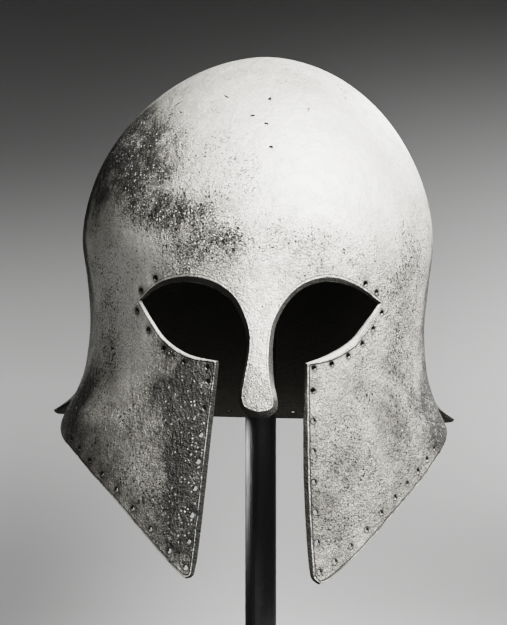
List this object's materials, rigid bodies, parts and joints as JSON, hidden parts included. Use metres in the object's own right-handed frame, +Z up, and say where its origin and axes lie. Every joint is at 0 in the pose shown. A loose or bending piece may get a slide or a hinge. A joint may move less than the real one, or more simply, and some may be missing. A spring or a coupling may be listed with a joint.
{
  "type": "corinthian helmet on a stand",
  "caption": "Domed bronze Corinthian helmet with almond eyes, long nose guard, cheek pieces, lining holes and flared neck guard, on a plain round post stand.",
  "frame": {"origin": "middle of the underside of the box round helmet and stand, on the floor it rests on", "axes": "+Z up the stand's post to the crown; the face looks along -Y; +X is the wearer's left"},
  "size_m": [0.2086, 0.2382, 0.3374],
  "materials": {
    "bronze": "ancient bronze with a pale grey, pitted patina, dark inside",
    "stand_black": "satin black paint"
  },
  "bodies": {
    "root": {"helmet_shell": "bronze", "stand_head_rest": "stand_black", "stand_post": "stand_black", "stand_base": "stand_black"}
  },
  "joints": []
}
